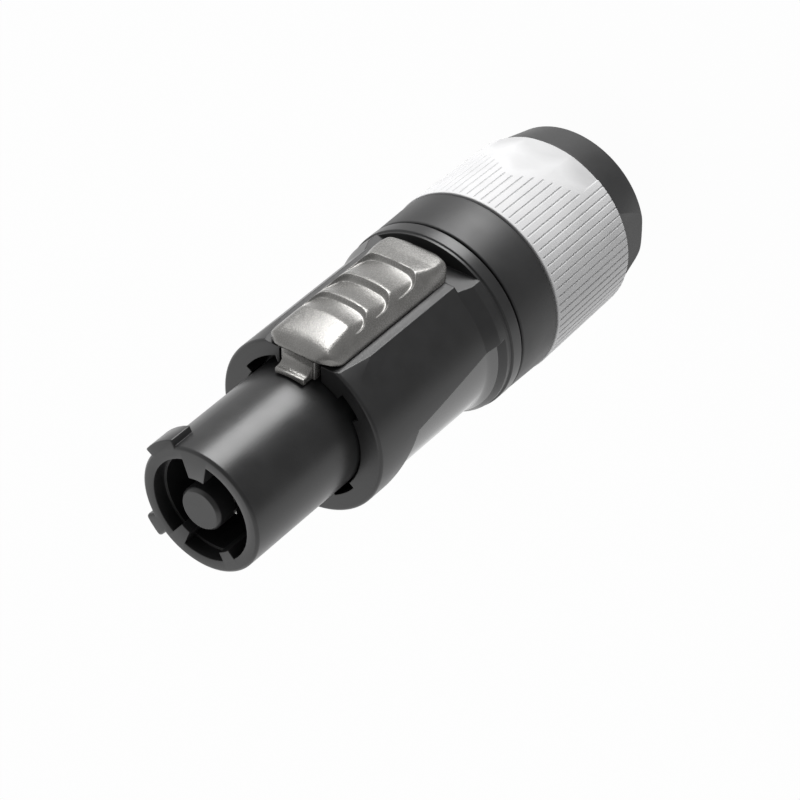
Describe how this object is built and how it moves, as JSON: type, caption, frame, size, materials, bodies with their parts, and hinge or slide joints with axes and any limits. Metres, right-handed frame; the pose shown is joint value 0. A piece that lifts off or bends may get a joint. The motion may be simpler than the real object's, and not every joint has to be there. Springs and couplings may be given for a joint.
{
  "type": "locking power connector",
  "caption": "Round cable connector for mains power with a keyed bayonet nose, a sliding thumb latch and a screwed strain relief.",
  "frame": {"origin": "centre of the cable opening in the flat rear face", "axes": "+Z along the connector from the cable end to the nose, -Y towards the thumb latch"},
  "size_m": [0.0302, 0.0312, 0.0886],
  "materials": {
    "housing": "moulded satin black",
    "insert": "moulded satin black",
    "latch": "satin cast metal",
    "latch_spring": "drawn wire",
    "chuck": "moulded natural",
    "bushing": "moulded satin black",
    "grip_sleeve": "moulded pale grey",
    "contact": "silver plated",
    "terminal": "machined",
    "screw": "zinc plated"
  },
  "bodies": {
    "shell": {"housing": "housing", "insert": "insert", "latch_spring": "latch_spring", "contact_live": "contact", "contact_neutral": "contact", "contact_earth": "contact", "terminal_live": "terminal", "terminal_neutral": "terminal", "terminal_earth": "terminal", "screw_live": "screw", "screw_neutral": "screw", "screw_earth": "screw"},
    "latch": {"latch": "latch"},
    "chuck": {"chuck": "chuck"},
    "bushing": {"bushing": "bushing", "grip_sleeve": "grip_sleeve"}
  },
  "joints": [
    {"name": "latch_slide", "type": "slide", "parent": "shell", "child": "latch", "axis": [0, 0, -1], "range_m": [0, 0.0015], "stiffness_N_per_m": 400, "springref_m": -0.0025, "deforming": ["latch_spring"]},
    {"name": "chuck_slide", "type": "slide", "parent": "shell", "child": "chuck", "axis": [0, 0, -1], "range_m": [0, 0.0045]},
    {"name": "bushing_turn", "type": "hinge", "parent": "chuck", "child": "bushing", "pos_m": [0, 0, 0.02], "axis": [0, 0, -1], "range_deg": [0, 1081]}
  ],
  "couplings": [
    {"joint": "bushing_turn", "follows": "chuck_slide", "rad_per_m": 4188.8}
  ]
}
